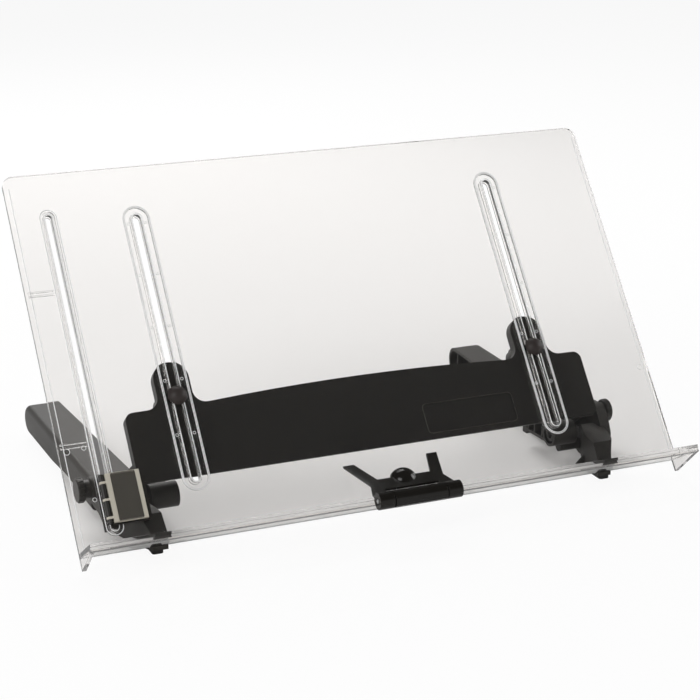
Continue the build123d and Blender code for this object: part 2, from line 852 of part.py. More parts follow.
save(clear_panel(), "clear_panel")
save(crossbar(), "crossbar")
for side_name, x in (("left_", -track_x), ("right_", track_x)):
    save(height_bolt(x), side_name + "height_bolt")
    save(height_washer(x), side_name + "height_washer")
    save(height_knob(x), side_name + "height_knob")
save_pair(leg(), "leg")
toe_point, rear_point = pad_points()
save_pair(pad(*toe_point), "front_pad")
save_pair(pad(*rear_point), "rear_pad")
save_pair(tilt_bolt(), "tilt_bolt")
save_pair(tilt_washer(), "tilt_washer")
save_pair(tilt_knob(), "tilt_knob")
save(page_clip_base(), "page_clip_base")
save(page_clip_arm(), "page_clip_arm")
save(page_clip_pin(), "page_clip_pin")
save(side_clip_slider(), "side_clip_slider")
save(side_clip_flap(), "side_clip_flap")
save(side_clip_pad(), "side_clip_pad")
save(side_clip_pin(), "side_clip_pin")
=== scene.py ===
"""Finishes and small mouldings for a clear in-line document holder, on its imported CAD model.

The clear panel leans back on a black crossbar with two feet. Sizes are in metres. Places on
the panel are given as across, up its slope, and out of its front face.
"""

import json
import logging
import math
from dataclasses import dataclass
from enum import Enum

import bmesh
import bpy
from mathutils import Matrix, Vector


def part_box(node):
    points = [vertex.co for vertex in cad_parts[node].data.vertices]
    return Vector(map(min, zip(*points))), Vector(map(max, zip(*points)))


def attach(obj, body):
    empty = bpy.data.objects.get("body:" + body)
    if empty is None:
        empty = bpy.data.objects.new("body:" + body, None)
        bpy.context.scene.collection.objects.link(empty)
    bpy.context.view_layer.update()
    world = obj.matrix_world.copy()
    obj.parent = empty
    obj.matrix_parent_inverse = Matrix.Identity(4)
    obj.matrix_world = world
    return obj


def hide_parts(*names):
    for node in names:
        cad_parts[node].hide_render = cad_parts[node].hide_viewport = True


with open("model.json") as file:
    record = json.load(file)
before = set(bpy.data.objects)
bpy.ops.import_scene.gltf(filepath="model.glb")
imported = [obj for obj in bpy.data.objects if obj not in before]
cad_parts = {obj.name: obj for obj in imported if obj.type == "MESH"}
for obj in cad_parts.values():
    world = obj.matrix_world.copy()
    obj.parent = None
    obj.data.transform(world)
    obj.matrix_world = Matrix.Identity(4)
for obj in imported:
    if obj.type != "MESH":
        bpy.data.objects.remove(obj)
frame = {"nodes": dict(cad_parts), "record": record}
log = logging.getLogger("document_holder")

SHEET_THICKNESS = 0.003
# Edges that turn less than this belong to a curved face.
SMALL_FACET_ANGLE = math.radians(35)
# Faces that turn less than this are one flat face.
FLAT_ANGLE = math.radians(0.5)
MERGE_DISTANCE = 1e-6
RIB_SIDES = 8
BEAD_SIDES = 8
RING_STEPS = 20
CORNER_STEPS = 12
# Leaves a short straight end between two fillets of a bead's outline.
FILLET_SLACK = 0.00002


def linear(hex_colour: str) -> tuple[float, float, float, float]:
    """Turns an sRGB hex colour into linear light.

    Args:
        hex_colour: Six hex digits with a leading hash.

    Returns:
        Red, green, blue and an alpha of one.
    """
    channels = [int(hex_colour[i : i + 2], 16) / 255 for i in (1, 3, 5)]
    light = [c / 12.92 if c <= 0.04045 else ((c + 0.055) / 1.055) ** 2.4 for c in channels]
    return (light[0], light[1], light[2], 1.0)


def add_node(tree: bpy.types.NodeTree, kind: str, settings: dict, links: dict) -> bpy.types.Node:
    """Adds one node with its settings and links.

    Args:
        tree: The node tree that gets the node.
        kind: The node's type name.
        settings: Attribute names, or input names written as "in:Name", and their values.
        links: Input names or numbers, and the output socket that feeds each.

    Returns:
        The new node.
    """
    node = tree.nodes.new(kind)
    for name, value in settings.items():
        if name.startswith("in:"):
            key = name[3:]
            node.inputs[int(key) if key.isdigit() else key].default_value = value
        else:
            setattr(node, name, value)
    for name, socket in links.items():
        tree.links.new(socket, node.inputs[name])
    return node


class Grain(Enum):
    """How a moulded surface was textured in its mould."""

    POLISHED = "polished"
    SPARKED = "sparked"


@dataclass(frozen=True)
class Moulding:
    """An opaque moulded plastic or rubber.

    Args:
        name: What the material is.
        colour: sRGB hex of the plain colour.
        roughness: Surface roughness.
        grain: How the mould was finished.
        grain_size: Size of the mould texture in metres.
        grain_depth: Height of the mould texture in metres.
        coat: Strength of the smooth skin over the plastic.
        ior: Index of refraction.
        gloss: Strength of its plain reflection, 0.5 for most plastics.
        mottle_scale: Patches of mottling along a metre.
        mottle_lift: Brightness of a light patch beside the plain colour.
        mottle_floor: Brightness added to a light patch.
        rub_spread: How far rub marks take the roughness up and down.
        coat_roughness: Roughness of the smooth skin.
        grain_strength: How strongly the mould texture turns the light.
    """

    name: str
    colour: str
    roughness: float
    grain: Grain = Grain.SPARKED
    grain_size: float = 0.0006
    grain_depth: float = 0.00002
    coat: float = 0.0
    ior: float = 1.5
    gloss: float = 0.5
    mottle_scale: float = 45.0
    mottle_lift: float = 1.25
    mottle_floor: float = 0.002
    rub_spread: float = 0.05
    coat_roughness: float = 0.12
    grain_strength: float = 0.6

    def build(self) -> bpy.types.Material:
        """Builds the material with faint mottling, rub marks and mould grain."""
        material = bpy.data.materials.new(self.name)
        material.use_nodes = True
        tree = material.node_tree
        shader = tree.nodes["Principled BSDF"]
        place = add_node(tree, "ShaderNodeTexCoord", {}, {}).outputs["Object"]
        mottle = add_node(
            tree,
            "ShaderNodeTexNoise",
            {"in:Scale": self.mottle_scale, "in:Detail": 3.0},
            {"Vector": place},
        )
        dark = linear(self.colour)
        lifted = [min(1.0, c * self.mottle_lift + self.mottle_floor) for c in dark[:3]]
        light = (*lifted, 1.0)
        tint = add_node(
            tree,
            "ShaderNodeMix",
            {"data_type": "RGBA", "in:6": dark, "in:7": light},
            {0: mottle.outputs["Fac"]},
        )
        tree.links.new(tint.outputs[2], shader.inputs["Base Color"])
        rub = add_node(
            tree,
            "ShaderNodeMapRange",
            {
                "in:To Min": self.roughness - self.rub_spread,
                "in:To Max": self.roughness + self.rub_spread,
            },
            {"Value": mottle.outputs["Fac"]},
        )
        tree.links.new(rub.outputs["Result"], shader.inputs["Roughness"])
        shader.inputs["IOR"].default_value = self.ior
        shader.inputs["Specular IOR Level"].default_value = self.gloss
        shader.inputs["Coat Weight"].default_value = self.coat
        shader.inputs["Coat Roughness"].default_value = self.coat_roughness
        if self.grain is Grain.SPARKED:
            pits = add_node(
                tree,
                "ShaderNodeTexNoise",
                {"in:Scale": 1 / self.grain_size, "in:Detail": 2.0},
                {"Vector": place},
            )
            bump = add_node(
                tree,
                "ShaderNodeBump",
                {"in:Strength": self.grain_strength, "in:Distance": self.grain_depth},
                {"Height": pits.outputs["Fac"]},
            )
            tree.links.new(bump.outputs["Normal"], shader.inputs["Normal"])
        return material


@dataclass(frozen=True)
class ClearMoulding:
    """A see-through polished moulding, such as clear acrylic.

    Args:
        name: What the material is.
        colour: sRGB hex of its tint.
        ior: Index of refraction.
        roughness: Surface roughness.
        ripple_size: Spacing of the slow ripples that moulding leaves, in metres.
        ripple_depth: Height of those ripples in metres.
        clearness: Share of the light that goes through.
        ripple_strength: How strongly the ripples turn the light.
    """

    name: str
    colour: str
    ior: float
    roughness: float
    ripple_size: float
    ripple_depth: float
    clearness: float = 1.0
    ripple_strength: float = 0.25

    def build(self) -> bpy.types.Material:
        """Builds the material as clear plastic with slow ripples."""
        material = bpy.data.materials.new(self.name)
        material.use_nodes = True
        tree = material.node_tree
        shader = tree.nodes["Principled BSDF"]
        shader.inputs["Base Color"].default_value = linear(self.colour)
        shader.inputs["Transmission Weight"].default_value = self.clearness
        shader.inputs["IOR"].default_value = self.ior
        shader.inputs["Roughness"].default_value = self.roughness
        place = add_node(tree, "ShaderNodeTexCoord", {}, {}).outputs["Object"]
        ripple = add_node(
            tree,
            "ShaderNodeTexNoise",
            {"in:Scale": 1 / self.ripple_size, "in:Detail": 1.0},
            {"Vector": place},
        )
        bump = add_node(
            tree,
            "ShaderNodeBump",
            {"in:Strength": self.ripple_strength, "in:Distance": self.ripple_depth},
            {"Height": ripple.outputs["Fac"]},
        )
        tree.links.new(bump.outputs["Normal"], shader.inputs["Normal"])
        return material


@dataclass(frozen=True)
class Metal:
    """A plated or bare metal.

    Args:
        name: What the material is.
        colour: sRGB hex of its reflection.
        roughness: Surface roughness.
        cloud_scale: Clouds in the plating along a metre.
        cloud_spread: How far the clouds take the roughness up and down.
    """

    name: str
    colour: str
    roughness: float
    cloud_scale: float = 400.0
    cloud_spread: float = 0.08

    def build(self) -> bpy.types.Material:
        """Builds the metal with cloudy plating."""
        material = bpy.data.materials.new(self.name)
        material.use_nodes = True
        tree = material.node_tree
        shader = tree.nodes["Principled BSDF"]
        shader.inputs["Base Color"].default_value = linear(self.colour)
        shader.inputs["Metallic"].default_value = 1.0
        place = add_node(tree, "ShaderNodeTexCoord", {}, {}).outputs["Object"]
        cloud = add_node(
            tree,
            "ShaderNodeTexNoise",
            {"in:Scale": self.cloud_scale, "in:Detail": 4.0},
            {"Vector": place},
        )
        rub = add_node(
            tree,
            "ShaderNodeMapRange",
            {
                "in:To Min": self.roughness - self.cloud_spread,
                "in:To Max": self.roughness + self.cloud_spread,
            },
            {"Value": cloud.outputs["Fac"]},
        )
        tree.links.new(rub.outputs["Result"], shader.inputs["Roughness"])
        return material


# Injection-moulded acrylic: water clear, so only its edges and ribs catch the eye.
CLEAR_ACRYLIC = ClearMoulding("clear_acrylic", "#fbf9f7", 1.49, 0.02, 0.05, 0.0002)
# Painted highlight: a partly clear white line laid along a rib's crest, where the acrylic
# gathers light.
CREST_HIGHLIGHT_PAINT = ClearMoulding("painted_crest_highlight", "#ffffff", 1.49, 0.35, 0.01, 0.0001, 0.35)
# Moulded ABS with a fine sparked grain: a soft satin black.
SATIN_ABS = Moulding("satin_black_abs", "#24221f", 0.42, gloss=0.32)
# The same plastic painted lighter: a painted highlight along the label pad's glossy lip.
LABEL_LIP_HIGHLIGHT = Moulding("painted_highlight_black_abs", "#4a4741", 0.35)
# The same plastic on the legs, a little greyer and duller.
LEG_ABS = Moulding("leg_black_abs", "#2f2d2a", 0.5, grain_size=0.0008, gloss=0.28)
# Polished acetal: black with a bright wet highlight.
POLISHED_ACETAL = Moulding(
    "polished_black_acetal", "#151310", 0.16, Grain.POLISHED, coat=0.05, gloss=0.22
)
# Black nylon bolt heads: a soft brownish black without a sharp highlight.
DULL_NYLON = Moulding("black_nylon", "#2a2422", 0.5, grain_size=0.0007, gloss=0.25)
# Nitrile rubber pads: dull and deep black.
PAD_RUBBER = Moulding("nitrile_rubber", "#191918", 0.75, grain_size=0.0005)
# Ribbed thermoplastic elastomer: a dull olive grey that grips paper.
GRIP_ELASTOMER = Moulding("olive_grip_elastomer", "#36322a", 0.65, grain_size=0.0003)
# Plain moulded polystyrene strips: warm light grey.
WARM_STRIP = Moulding("warm_grey_polystyrene", "#b0ab9e", 0.45, grain_size=0.0005)
# Natural nylon: milky off-white, slightly waxy.
NYLON = Moulding("natural_nylon", "#c4c0b4", 0.4, grain_size=0.0006)
# Zinc-plated steel: grey with cloudy brightness.
ZINC_STEEL = Metal("zinc_plated_steel", "#b9bbbd", 0.35)


class Shelf:
    """Keeps one built material for each finish."""

    built: dict[str, bpy.types.Material] = {}

    @classmethod
    def take(cls, finish: Moulding | ClearMoulding | Metal) -> bpy.types.Material:
        """Returns the finish's material, building it the first time."""
        if finish.name not in cls.built:
            cls.built[finish.name] = finish.build()
        return cls.built[finish.name]


@dataclass(frozen=True)
class PanelSpace:
    """Directions of the leaning panel.

    Args:
        origin: The panel's lower rear edge, at mid-width.
        slope: Up the panel.
        normal: Out of its front face.
    """

    origin: Vector
    slope: Vector
    normal: Vector

    @classmethod
    def from_frame(cls) -> "PanelSpace":
        """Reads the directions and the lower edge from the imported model."""
        record = frame["record"]
        joints = {joint["name"]: joint for joint in record["behaviour"]["joints"]}
        slope = Vector(joints["panel_height"]["axis"]).normalized()
        normal = Vector((1, 0, 0)).cross(slope)
        low, high = (Vector(corner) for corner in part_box("clear_panel"))
        height = (high.z - low.z - SHEET_THICKNESS * normal.z) / slope.z
        origin = Vector((0, high.y - height * slope.y, low.z))
        return cls(origin, slope, normal)

    def matrix(self) -> Matrix:
        """Returns the matrix from across, up and out to the row frame."""
        across = Vector((1, 0, 0))
        turn = Matrix((across, self.slope, self.normal)).transposed().to_4x4()
        return Matrix.Translation(self.origin) @ turn

    def place(self, across: float, up: float, out: float) -> Vector:
        """Returns a point of the panel in the row frame."""
        return self.matrix() @ Vector((across, up, out))


def body_of_node(node: str) -> str:
    """Returns the body that a CAD node belongs to."""
    for body, nodes in frame["record"]["behaviour"]["bodies"].items():
        if node in nodes:
            return body
    raise KeyError(node)


def dress(node: str, finish: Moulding | ClearMoulding | Metal) -> None:
    """Gives a CAD node its finish.

    Args:
        node: The CAD node's name.
        finish: What it is made of.
    """
    thing = frame["nodes"][node]
    for slot in thing.material_slots:
        slot.material = Shelf.take(finish)
    log.info("%s is %s", node, finish.name)


def soften(
    node: str, width: float, finish: Moulding | ClearMoulding | Metal, steps: int = 2
) -> bpy.types.Object:
    """Copies a CAD node with rounded edges and lets the copy stand for it.

    Args:
        node: The CAD node's name.
        width: Width of the rounding in metres.
        finish: What the piece is made of.
        steps: Segments across the rounding.

    Returns:
        The new piece.
    """
    mesh = frame["nodes"][node].data.copy()
    mesh.name = node + "_soft"
    work = bmesh.new()
    work.from_mesh(mesh)
    bmesh.ops.remove_doubles(work, verts=work.verts, dist=MERGE_DISTANCE)
    bmesh.ops.dissolve_limit(
        work, angle_limit=FLAT_ANGLE, verts=work.verts, edges=work.edges
    )
    bmesh.ops.recalc_face_normals(work, faces=work.faces)
    for face in work.faces:
        face.smooth = True
    for edge in work.edges:
        edge.smooth = edge.calc_face_angle(0) < SMALL_FACET_ANGLE
    work.to_mesh(mesh)
    work.free()
    piece = bpy.data.objects.new(node + "_soft", mesh)
    bpy.context.scene.collection.objects.link(piece)
    mesh.materials.clear()
    mesh.materials.append(Shelf.take(finish))
    bevel = piece.modifiers.new("rounded edges", "BEVEL")
    bevel.width = width
    bevel.segments = steps
    bevel.limit_method = "ANGLE"
    bevel.angle_limit = SMALL_FACET_ANGLE
    bevel.harden_normals = True
    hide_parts(node)
    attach(piece, body_of_node(node))
    log.info("%s is %s with rounded edges", node, finish.name)
    return piece


def settle(piece: bpy.types.Object, space: PanelSpace) -> None:
    """Turns a piece's modifiers into a plain mesh and moves it onto the panel.

    Args:
        piece: A piece drawn in the panel's own directions.
        space: The panel's directions.
    """
    done = piece.evaluated_get(bpy.context.evaluated_depsgraph_get())
    mesh = bpy.data.meshes.new_from_object(done)
    piece.modifiers.clear()
    piece.data = mesh
    mesh.transform(space.matrix())


def grown(name: str, tree: bpy.types.NodeTree, sizes: dict) -> bpy.types.Object:
    """Makes a piece from a Geometry Nodes tree.

    Args:
        name: The piece's name.
        tree: The tree that makes its shape.
        sizes: Values for the tree's named inputs.

    Returns:
        The new piece, with its modifier still on it.
    """
    piece = bpy.data.objects.new(name, bpy.data.meshes.new(name))
    bpy.context.scene.collection.objects.link(piece)
    modifier = piece.modifiers.new("pattern", "NODES")
    modifier.node_group = tree
    for item in tree.interface.items_tree:
        if item.item_type == "SOCKET" and item.name in sizes:
            modifier[item.identifier] = sizes[item.name]
    return piece


ROW_INPUTS = {
    "Count": "NodeSocketInt",
    "Pitch": "NodeSocketFloat",
    "Start": "NodeSocketVector",
    "Material": "NodeSocketMaterial",
}


def new_pattern(name: str, sizes: tuple) -> tuple[bpy.types.NodeTree, bpy.types.Node]:
    """Starts a Geometry Nodes tree that repeats a shape along a row.

    Args:
        name: The tree's name.
        sizes: Names of the shape's own sizes, beside the inputs that every row has.

    Returns:
        The tree, and its input node.
    """
    tree = bpy.data.node_groups.new(name, "GeometryNodeTree")
    inputs = ROW_INPUTS | {size: "NodeSocketFloat" for size in sizes}
    for label, kind in inputs.items():
        tree.interface.new_socket(label, in_out="INPUT", socket_type=kind)
    tree.interface.new_socket("Geometry", in_out="OUTPUT", socket_type="NodeSocketGeometry")
    return tree, tree.nodes.new("NodeGroupInput")


def bead_along(
    tree: bpy.types.NodeTree, path: bpy.types.NodeSocket, given: bpy.types.Node
) -> bpy.types.NodeSocket:
    """Adds a thin round bead along a path.

    Args:
        tree: The tree.
        path: The socket with the path.
        given: The tree's input node, which has a Bead radius socket.

    Returns:
        The socket with the bead.
    """
    profile = add_node(
        tree,
        "GeometryNodeCurvePrimitiveCircle",
        {"in:Resolution": BEAD_SIDES},
        {"Radius": given.outputs["Bead radius"]},
    )
    links = {"Curve": path, "Profile Curve": profile.outputs[0]}
    return add_node(tree, "GeometryNodeCurveToMesh", {}, links).outputs[0]


def end_pattern(
    tree: bpy.types.NodeTree,
    shape: bpy.types.NodeSocket,
    direction: str,
    given: bpy.types.Node,
) -> None:
    """Repeats a shape along a row, and ends the tree with real geometry and its material.

    Args:
        tree: The tree.
        shape: The socket with the shape.
        direction: The axis that the row runs along.
        given: The tree's input node.
    """
    step = add_node(tree, "ShaderNodeCombineXYZ", {}, {direction: given.outputs["Pitch"]})
    line = add_node(
        tree,
        "GeometryNodeMeshLine",
        {},
        {
            "Count": given.outputs["Count"],
            "Start Location": given.outputs["Start"],
            "Offset": step.outputs[0],
        },
    )
    links = {"Points": line.outputs["Mesh"], "Instance": shape}
    row = add_node(tree, "GeometryNodeInstanceOnPoints", {}, links)
    real = add_node(tree, "GeometryNodeRealizeInstances", {}, {"Geometry": row.outputs[0]})
    links = {"Geometry": real.outputs[0], "Material": given.outputs["Material"]}
    painted = add_node(tree, "GeometryNodeSetMaterial", {}, links)
    add_node(tree, "NodeGroupOutput", {}, {"Geometry": painted.outputs[0]})


def rib_row_tree() -> bpy.types.NodeTree:
    """Builds the pattern of a row of round ribs, side by side."""
    tree, given = new_pattern("rib_row", ("Length", "Radius"))
    rib = add_node(
        tree,
        "GeometryNodeMeshCylinder",
        {"in:Vertices": RIB_SIDES},
        {"Radius": given.outputs["Radius"], "Depth": given.outputs["Length"]},
    )
    laid = add_node(
        tree,
        "GeometryNodeTransform",
        {"in:Rotation": (math.pi / 2, 0, 0)},
        {"Geometry": rib.outputs["Mesh"]},
    )
    end_pattern(tree, laid.outputs[0], "X", given)
    return tree


def ring_row_tree() -> bpy.types.NodeTree:
    """Builds the pattern of a line of small raised rings."""
    tree, given = new_pattern("ring_row", ("Ring radius", "Bead radius"))
    loop = add_node(
        tree,
        "GeometryNodeCurvePrimitiveCircle",
        {"in:Resolution": RING_STEPS},
        {"Radius": given.outputs["Ring radius"]},
    )
    end_pattern(tree, bead_along(tree, loop.outputs[0], given), "Y", given)
    return tree


def oval_bead_tree() -> bpy.types.NodeTree:
    """Builds the pattern of a thin round bead along an upright oval, once for each track."""
    tree, given = new_pattern("oval_bead", ("Width", "Height", "Corner", "Bead radius"))
    outline = add_node(
        tree,
        "GeometryNodeCurvePrimitiveQuadrilateral",
        {},
        {"Width": given.outputs["Width"], "Height": given.outputs["Height"]},
    )
    rounded = add_node(
        tree,
        "GeometryNodeFilletCurve",
        {"mode": "POLY", "in:Count": CORNER_STEPS},
        {"Curve": outline.outputs[0], "Radius": given.outputs["Corner"]},
    )
    end_pattern(tree, bead_along(tree, rounded.outputs[0], given), "X", given)
    return tree


@dataclass(frozen=True)
class Track:
    """The raised rim of a track, or of equal tracks side by side.

    Args:
        crest_name: Name of its painted highlight lines along the crest, which are numbered from
            the outside in.
        across: Place of the first track from the panel's middle.
        pitch: Spacing of equal tracks.
        count: How many there are.
        bottom: Lower end of the rim.
        top: Upper end of the rim.
        widths: Widths of the painted crest highlight lines, the slot's lip last.
    """

    crest_name: str
    across: float
    pitch: float
    count: int
    bottom: float
    top: float
    widths: tuple


@dataclass
class ClearPanel:
    """The clear panel, the painted highlight lines along its track rims' crests, and its small
    ring marks.

    Args:
        space: The panel's directions.
        edge: Width of the rounding on the panel's edges.
        edge_steps: Segments across that rounding.
        rim_height: Height of the track rims' crests out of the panel's rear plane.
        crest_radius: Radius of the painted highlight line along a crest.
        crest_sink: How far its middle lies below the crest.
        height_tracks: The two wide tracks that the height bolts run in.
        guide_track: The side clip's track.
        mark_aside: Distance of the ring marks from a track's middle.
        mark_start: Height of the lowest ring mark up the slope.
        mark_pitch: Spacing of the ring marks.
        mark_count: Ring marks in a line.
        ring_radius: Radius of a ring mark.
        bead_radius: Radius of the raised bead that makes it.
        edge_rings: Name, across, height and radius of each single ring mark.
        edge_line_across: Distance from the middle of the painted highlight line along each side
            edge.
        edge_line_middle: Its middle's height up the slope.
        edge_line_length: Its length.
        edge_line_radius: Its radius.
    """

    space: PanelSpace
    edge: float = 0.0005
    edge_steps: int = 3
    rim_height: float = 0.0042
    crest_radius: float = 0.00036
    crest_sink: float = 0.00015
    height_tracks: Track = Track(
        "track_crest_highlight", -0.139, 0.278, 2, 0.0414, 0.2555, (0.0192, 0.0174, 0.0074)
    )
    guide_track: Track = Track(
        "guide_crest_highlight", -0.2015, 0.0, 1, 0.0196, 0.2589, (0.0116, 0.0061)
    )
    mark_aside: float = 0.0062
    mark_start: float = 0.0825
    mark_pitch: float = 0.040
    mark_count: int = 5
    ring_radius: float = 0.0010
    bead_radius: float = 0.00022
    edge_rings: tuple = (
        ("edge_ring_large", -0.2228, 0.0817, 0.0021),
        ("edge_ring_small", -0.2108, 0.0828, 0.0015),
        ("edge_ring_low", -0.2108, 0.0461, 0.0014),
        ("edge_ring_right", 0.2215, 0.0835, 0.0021),
    )
    edge_line_across: float = 0.2246
    edge_line_middle: float = 0.1430
    edge_line_length: float = 0.2700
    edge_line_radius: float = 0.00032

    def build(self) -> None:
        """Dresses the panel and adds its painted crest highlights, marks and painted edge
        highlights.
        """
        soften("clear_panel", self.edge, CLEAR_ACRYLIC, self.edge_steps)
        rings = ring_row_tree()
        left = self.height_tracks.across
        for side, middle in (("left", left), ("right", -left)):
            for line, aside in (("a", -self.mark_aside), ("b", self.mark_aside)):
                start = (middle + aside, self.mark_start, SHEET_THICKNESS)
                name = f"ring_marks_{side}_{line}"
                self.add_rings(name, rings, start, self.ring_radius, self.mark_count)
        for name, across, up, radius in self.edge_rings:
            self.add_rings(name, rings, (across, up, SHEET_THICKNESS), radius, 1)
        beads = oval_bead_tree()
        for track in (self.height_tracks, self.guide_track):
            for number, width in enumerate(track.widths, start=1):
                self.add_crest(f"{track.crest_name}_{number}", beads, track, width)
        self.add_edge_lines()

    def add_edge_lines(self) -> None:
        """Adds the painted highlight line that runs along each side edge."""
        sizes = {
            "Count": 2,
            "Pitch": 2 * self.edge_line_across,
            "Length": self.edge_line_length,
            "Radius": self.edge_line_radius,
            "Start": (-self.edge_line_across, self.edge_line_middle, SHEET_THICKNESS),
            # Painted highlight: a bright line along the panel's side edge.
            "Material": Shelf.take(CREST_HIGHLIGHT_PAINT),
        }
        lines = grown("side_edge_highlights", rib_row_tree(), sizes)
        settle(lines, self.space)
        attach(lines, "panel")
        log.info("side_edge_highlights runs along both edges")

    def add_crest(
        self, name: str, tree: bpy.types.NodeTree, track: Track, width: float
    ) -> None:
        """Adds the painted highlight line along a rim's crest.

        Args:
            name: The piece's name.
            tree: The oval bead pattern.
            track: The track that has the rim.
            width: Width of the oval along its crest.
        """
        inset = track.widths[0] - width
        sizes = {
            "Count": track.count,
            "Pitch": track.pitch,
            "Width": width,
            "Height": track.top - track.bottom - inset - self.crest_radius,
            "Corner": width / 2 - FILLET_SLACK,
            "Bead radius": self.crest_radius,
            "Start": (
                track.across,
                (track.bottom + track.top) / 2,
                self.rim_height - self.crest_sink,
            ),
            # Painted highlight: a bright line along the rim's crest.
            "Material": Shelf.take(CREST_HIGHLIGHT_PAINT),
        }
        crest = grown(name, tree, sizes)
        settle(crest, self.space)
        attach(crest, "panel")
        log.info("%s runs round %d tracks", name, track.count)

    def add_rings(
        self, name: str, tree: bpy.types.NodeTree, start: tuple, radius: float, count: int
    ) -> None:
        """Adds one line of ring marks.

        Args:
            name: The piece's name.
            tree: The ring pattern.
            start: The lowest ring's place on the panel.
            radius: A ring's radius.
            count: How many rings stand in the line.
        """
        sizes = {
            "Count": count,
            "Pitch": self.mark_pitch,
            "Ring radius": radius,
            "Bead radius": self.bead_radius,
            "Start": start,
            # The rings are real raised beads, coloured with the painted highlight so that they
            # show bright.
            "Material": Shelf.take(CREST_HIGHLIGHT_PAINT),
        }
        marks = grown(name, tree, sizes)
        settle(marks, self.space)
        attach(marks, "panel")
        log.info("%s has %d rings", name, count)


@dataclass
class BarAndLegs:
    """The crossbar with its bare label pad, its two legs and their pads.

    Args:
        space: The panel's directions.
        edge: Width of the rounding on the legs' edges.
        bar_edge: Width of the rounding on the crossbar's edges.
        bar_edge_steps: Segments across that rounding.
        label_place: Middle of the label pad, across, up and out.
        label_width: Width of the label pad.
        label_height: Height of the label pad.
        label_corner: Radius of its corners.
        label_bead: Radius of the painted highlight line round it.
    """

    space: PanelSpace
    edge: float = 0.0006
    bar_edge: float = 0.0011
    bar_edge_steps: int = 3
    label_place: tuple = (0.0760, 0.0688, -0.0020)
    label_width: float = 0.0720
    label_height: float = 0.0224
    label_corner: float = 0.0030
    label_bead: float = 0.00022

    def build(self) -> None:
        """Dresses the black mouldings."""
        soften("crossbar", self.bar_edge, SATIN_ABS, self.bar_edge_steps)
        for side in ("left_", "right_"):
            soften(side + "leg", self.edge, LEG_ABS)
            dress(side + "front_pad", PAD_RUBBER)
            dress(side + "rear_pad", PAD_RUBBER)
        self.add_label_rim()

    def add_label_rim(self) -> None:
        """Adds the painted highlight line round the bare label pad."""
        sizes = {
            "Count": 1,
            "Pitch": 0.0,
            "Width": self.label_width,
            "Height": self.label_height,
            "Corner": self.label_corner,
            "Bead radius": self.label_bead,
            "Start": self.label_place,
            # Painted highlight: a lighter line along the label pad's lip.
            "Material": Shelf.take(LABEL_LIP_HIGHLIGHT),
        }
        rim = grown("label_rim", oval_bead_tree(), sizes)
        settle(rim, self.space)
        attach(rim, "crossbar")
        log.info("label_rim runs round the bare label pad")


@dataclass
class Fasteners:
    """Bolts, washers and hand knobs.

    Args:
        height_knob_edge: Width of the rounding on the height knobs.
        tilt_knob_edge: Width of the rounding on the tilt knobs.
    """

    height_knob_edge: float = 0.0004
    tilt_knob_edge: float = 0.0003

    def build(self) -> None:
        """Dresses each bolt, washer and knob."""
        for side in ("left_", "right_"):
            dress(side + "height_bolt", DULL_NYLON)
            dress(side + "height_washer", ZINC_STEEL)
            soften(side + "height_knob", self.height_knob_edge, SATIN_ABS)
            dress(side + "tilt_bolt", ZINC_STEEL)
            dress(side + "tilt_washer", NYLON)
            soften(side + "tilt_knob", self.tilt_knob_edge, SATIN_ABS)


@dataclass
class PageClip:
    """The page clip on the ledge.

    Args:
        edge: Width of the rounding on its two mouldings.
    """

    edge: float = 0.0003

    def build(self) -> None:
        """Dresses the clip's three pieces."""
        soften("page_clip_base", self.edge, POLISHED_ACETAL)
        soften("page_clip_arm", self.edge, POLISHED_ACETAL)
        dress("page_clip_pin", ZINC_STEEL)


@dataclass
class SideClip:
    """The sliding side clip with its ribbed grip pad.

    Args:
        space: The panel's directions.
        pad_left: Left edge of the pad.
        pad_right: Right edge of the pad.
        pad_bottom: Lower edge of the flap, where the ribbing starts.
        pad_top: Upper edge of the flap, where it ends.
        pad_face: Height of the pad's face out of the panel.
        rib_pitch: Spacing of the grip ribs.
        rib_radius: Radius of a grip rib.
        rib_margin: Bare border beyond each end of the ribs.
        slider_edge: Width of the rounding on the slider.
        flap_edge: Width of the rounding on the flap.
    """

    space: PanelSpace
    pad_left: float = -0.1985
    pad_right: float = -0.1815
    pad_bottom: float = 0.0272
    pad_top: float = 0.0614
    pad_face: float = 0.0087
    rib_pitch: float = 0.0006
    rib_radius: float = 0.00028
    rib_margin: float = 0.0003
    slider_edge: float = 0.0002
    flap_edge: float = 0.0003

    def build(self) -> None:
        """Dresses the clip and adds its ribs."""
        soften("side_clip_slider", self.slider_edge, SATIN_ABS)
        soften("side_clip_flap", self.flap_edge, WARM_STRIP)
        dress("side_clip_pad", GRIP_ELASTOMER)
        dress("side_clip_pin", ZINC_STEEL)
        count = int((self.pad_right - self.pad_left) / self.rib_pitch)
        middle = (self.pad_bottom + self.pad_top) / 2
        sizes = {
            "Count": count,
            "Pitch": self.rib_pitch,
            "Length": self.pad_top - self.pad_bottom - 2 * self.rib_margin,
            "Radius": self.rib_radius,
            "Start": (self.pad_left + self.rib_pitch / 2, middle, self.pad_face),
            "Material": Shelf.take(GRIP_ELASTOMER),
        }
        ribs = grown("side_clip_ribs", rib_row_tree(), sizes)
        settle(ribs, self.space)
        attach(ribs, "side_clip_flap")
        log.info("side_clip_ribs has %d ribs", count)


@dataclass(frozen=True)
class Softbox:
    """A square soft light that faces the panel.

    Args:
        name: Its name.
        place: Where it stands.
        side: The length of its side.
        watts: Its power.
    """

    name: str
    place: tuple
    side: float
    watts: float


